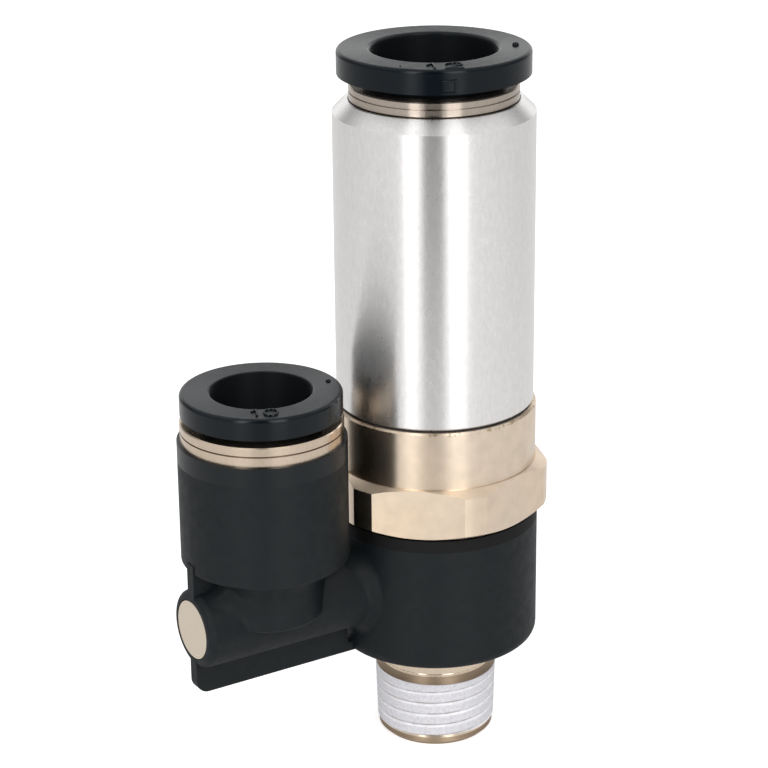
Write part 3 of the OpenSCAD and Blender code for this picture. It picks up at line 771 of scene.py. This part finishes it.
# ---- floor, lights and camera ----

FLOOR_Z = cad_box[0][2]
LAMP_AIM_Z = 40 * MM
CARD_W, CARD_H = 0.076, 0.5
# What metal sees of the room, by direction: 0 is towards the camera and 1 away from it
ROOM = ((0.0, 0.42), (0.2, 0.62), (0.42, 0.54), (0.6, 0.40), (0.72, 0.26), (0.85, 0.25),
        (0.93, 1.0))
# Overhead it sees at least this much, which fades in between two heights of a unit direction
OVERHEAD, OVERHEAD_FROM, OVERHEAD_TO = 0.95, 0.3, 0.7


def path_strength(tree, plain, camera, gloss):
    """A strength that is camera for what the camera sees, gloss in reflections, else plain.

    Also gives the sockets that hold the strength in reflections.
    """
    path = tree.nodes.new("ShaderNodeLightPath")
    strength = None
    in_gloss = []
    rays = ((gloss, "Is Glossy Ray"), (gloss, "Is Transmission Ray"), (camera, "Is Camera Ray"))
    for value, ray in rays:
        mix = tree.nodes.new("ShaderNodeMix")
        mix.inputs["A"].default_value = plain
        mix.inputs["B"].default_value = value
        if ray != "Is Camera Ray":
            in_gloss.append(mix.inputs["B"])
        if strength:
            tree.links.new(strength, mix.inputs["A"])
        tree.links.new(path.outputs[ray], mix.inputs["Factor"])
        strength = mix.outputs["Result"]
    return strength, in_gloss


def white_stage(name, diffuse, camera_glow, gloss_glow):
    """A pale stage that shows as white to the camera and in metal, and still keeps shadows."""
    mat = bpy.data.materials.new(name)
    mat.use_nodes = True
    tree = mat.node_tree
    tree.nodes.clear()
    out = tree.nodes.new("ShaderNodeOutputMaterial")
    add = tree.nodes.new("ShaderNodeAddShader")
    paint = tree.nodes.new("ShaderNodeBsdfDiffuse")
    paint.inputs["Color"].default_value = (diffuse, diffuse, diffuse, 1)
    light = tree.nodes.new("ShaderNodeEmission")
    tree.links.new(path_strength(tree, 0.0, camera_glow, gloss_glow)[0], light.inputs["Strength"])
    tree.links.new(paint.outputs[0], add.inputs[0])
    tree.links.new(light.outputs[0], add.inputs[1])
    tree.links.new(add.outputs[0], out.inputs["Surface"])
    return mat


def panel(name, size, location, rotation, material):
    """A flat rectangle on the stage, apart from the ejector."""
    x, y = size[0] / 2, size[1] / 2
    mesh = bpy.data.meshes.new(name)
    mesh.from_pydata([(-x, -y, 0), (x, -y, 0), (x, y, 0), (-x, y, 0)], [], [(0, 1, 2, 3)])
    mesh.materials.append(material)
    obj = bpy.data.objects.new(name, mesh)
    obj.location = location
    obj.rotation_euler = rotation
    bpy.context.scene.collection.objects.link(obj)
    return obj


def around(azimuth, distance, height):
    """A point at an azimuth from the camera's own, round the ejector's axis."""
    a = CAM_AZIMUTH + math.radians(azimuth)
    return Vector((distance * math.cos(a), distance * math.sin(a), height))


def softbox(name, azimuth, distance, height, size, power):
    """An area light that points at the ejector's middle."""
    lamp = bpy.data.lights.new(name, "AREA")
    lamp.shape = "RECTANGLE"
    lamp.size, lamp.size_y = size
    lamp.energy = power
    obj = bpy.data.objects.new(name, lamp)
    obj.location = around(azimuth, distance, height)
    aim = Vector((0, 0, LAMP_AIM_Z)) - obj.location
    obj.rotation_euler = aim.to_track_quat("-Z", "Y").to_euler()
    bpy.context.scene.collection.objects.link(obj)


def studio(plain, camera):
    """The room: even light, white to the camera, and in metal a level that goes by direction."""
    world = bpy.data.worlds.new("studio")
    world.use_nodes = True
    tree = world.node_tree
    back = tree.nodes["Background"]
    back.inputs["Color"].default_value = (1, 1, 1, 1)
    strength, in_gloss = path_strength(tree, plain, camera, 1.0)
    tree.links.new(strength, back.inputs["Strength"])

    def vector_maths(operation, first, second=None):
        node = tree.nodes.new("ShaderNodeVectorMath")
        node.operation = operation
        tree.links.new(first, node.inputs[0])
        if second:
            node.inputs[1].default_value = second
        return node

    direction = tree.nodes.new("ShaderNodeTexCoord").outputs["Generated"]
    level_way = vector_maths("MULTIPLY", direction, (1, 1, 0)).outputs["Vector"]
    unit = vector_maths("NORMALIZE", level_way).outputs["Vector"]
    away = (-math.cos(CAM_AZIMUTH), -math.sin(CAM_AZIMUTH), 0)
    share = tree.nodes.new("ShaderNodeMapRange")
    share.inputs["From Min"].default_value = -1
    tree.links.new(vector_maths("DOT_PRODUCT", unit, away).outputs["Value"], share.inputs["Value"])
    room = tree.nodes.new("ShaderNodeValToRGB")
    stops = room.color_ramp.elements
    for i, (place, level) in enumerate(ROOM):
        stop = stops[i] if i < 2 else stops.new(place)
        stop.position = place
        stop.color = (level, level, level, 1)
    tree.links.new(share.outputs["Result"], room.inputs["Fac"])
    height = tree.nodes.new("ShaderNodeSeparateXYZ")
    tree.links.new(direction, height.inputs[0])
    overhead = tree.nodes.new("ShaderNodeMapRange")
    for name, value in (("From Min", OVERHEAD_FROM), ("From Max", OVERHEAD_TO),
                        ("To Max", OVERHEAD)):
        overhead.inputs[name].default_value = value
    tree.links.new(height.outputs["Z"], overhead.inputs["Value"])
    brighter = tree.nodes.new("ShaderNodeMath")
    brighter.operation = "MAXIMUM"
    tree.links.new(room.outputs["Color"], brighter.inputs[0])
    tree.links.new(overhead.outputs["Result"], brighter.inputs[1])
    for socket in in_gloss:
        tree.links.new(brighter.outputs["Value"], socket)
    bpy.context.scene.world = world


white = white_stage("white_floor", diffuse=0.8, camera_glow=0.6, gloss_glow=0.1)
panel("floor", size=(6, 6), location=(0, 0, FLOOR_Z), rotation=(0, 0, 0), material=white)
studio(plain=0.72, camera=1.0)
softbox("left_softbox", azimuth=-26, distance=0.55, height=0.30, size=(0.15, 0.60), power=1.1)
softbox("right_softbox", azimuth=26, distance=0.55, height=0.30, size=(0.21, 0.60), power=1.4)

# A black card on the camera's side, which only reflections show
black = Shader("black_card", (0.01, 0.01, 0.01), metallic=0.0, roughness=0.5, specular=0).mat
card = panel("standing_card", size=(CARD_W, CARD_H),
             location=around(azimuth=-1, distance=0.19, height=FLOOR_Z + CARD_H / 2),
             rotation=(math.pi / 2, 0, CAM_AZIMUTH + math.pi / 2), material=black)
card.visible_camera = False
card.visible_diffuse = False
card.visible_shadow = False

camera_data = bpy.data.cameras.new("camera")
camera_data.lens = CAM_LENS
camera_data.clip_start = 0.01
camera = bpy.data.objects.new("camera", camera_data)
# The camera's own axes, with its roll
heading = CAM_AZIMUTH + math.pi - CAM_YAW
forward = Vector((math.cos(heading) * math.cos(CAM_PITCH), math.sin(heading) * math.cos(CAM_PITCH),
                  -math.sin(CAM_PITCH)))
level = Vector((math.sin(heading), -math.cos(heading), 0))
upward = level.cross(forward)
right = level * math.cos(CAM_ROLL) + upward * math.sin(CAM_ROLL)
top = upward * math.cos(CAM_ROLL) - level * math.sin(CAM_ROLL)
camera.matrix_world = Matrix((
    (right.x, top.x, -forward.x, CAM_DISTANCE * math.cos(CAM_AZIMUTH)),
    (right.y, top.y, -forward.y, CAM_DISTANCE * math.sin(CAM_AZIMUTH)),
    (right.z, top.z, -forward.z, CAM_HEIGHT),
    (0, 0, 0, 1)))
bpy.context.scene.collection.objects.link(camera)
bpy.context.scene.camera = camera
bpy.context.scene.view_settings.view_transform = "Standard"
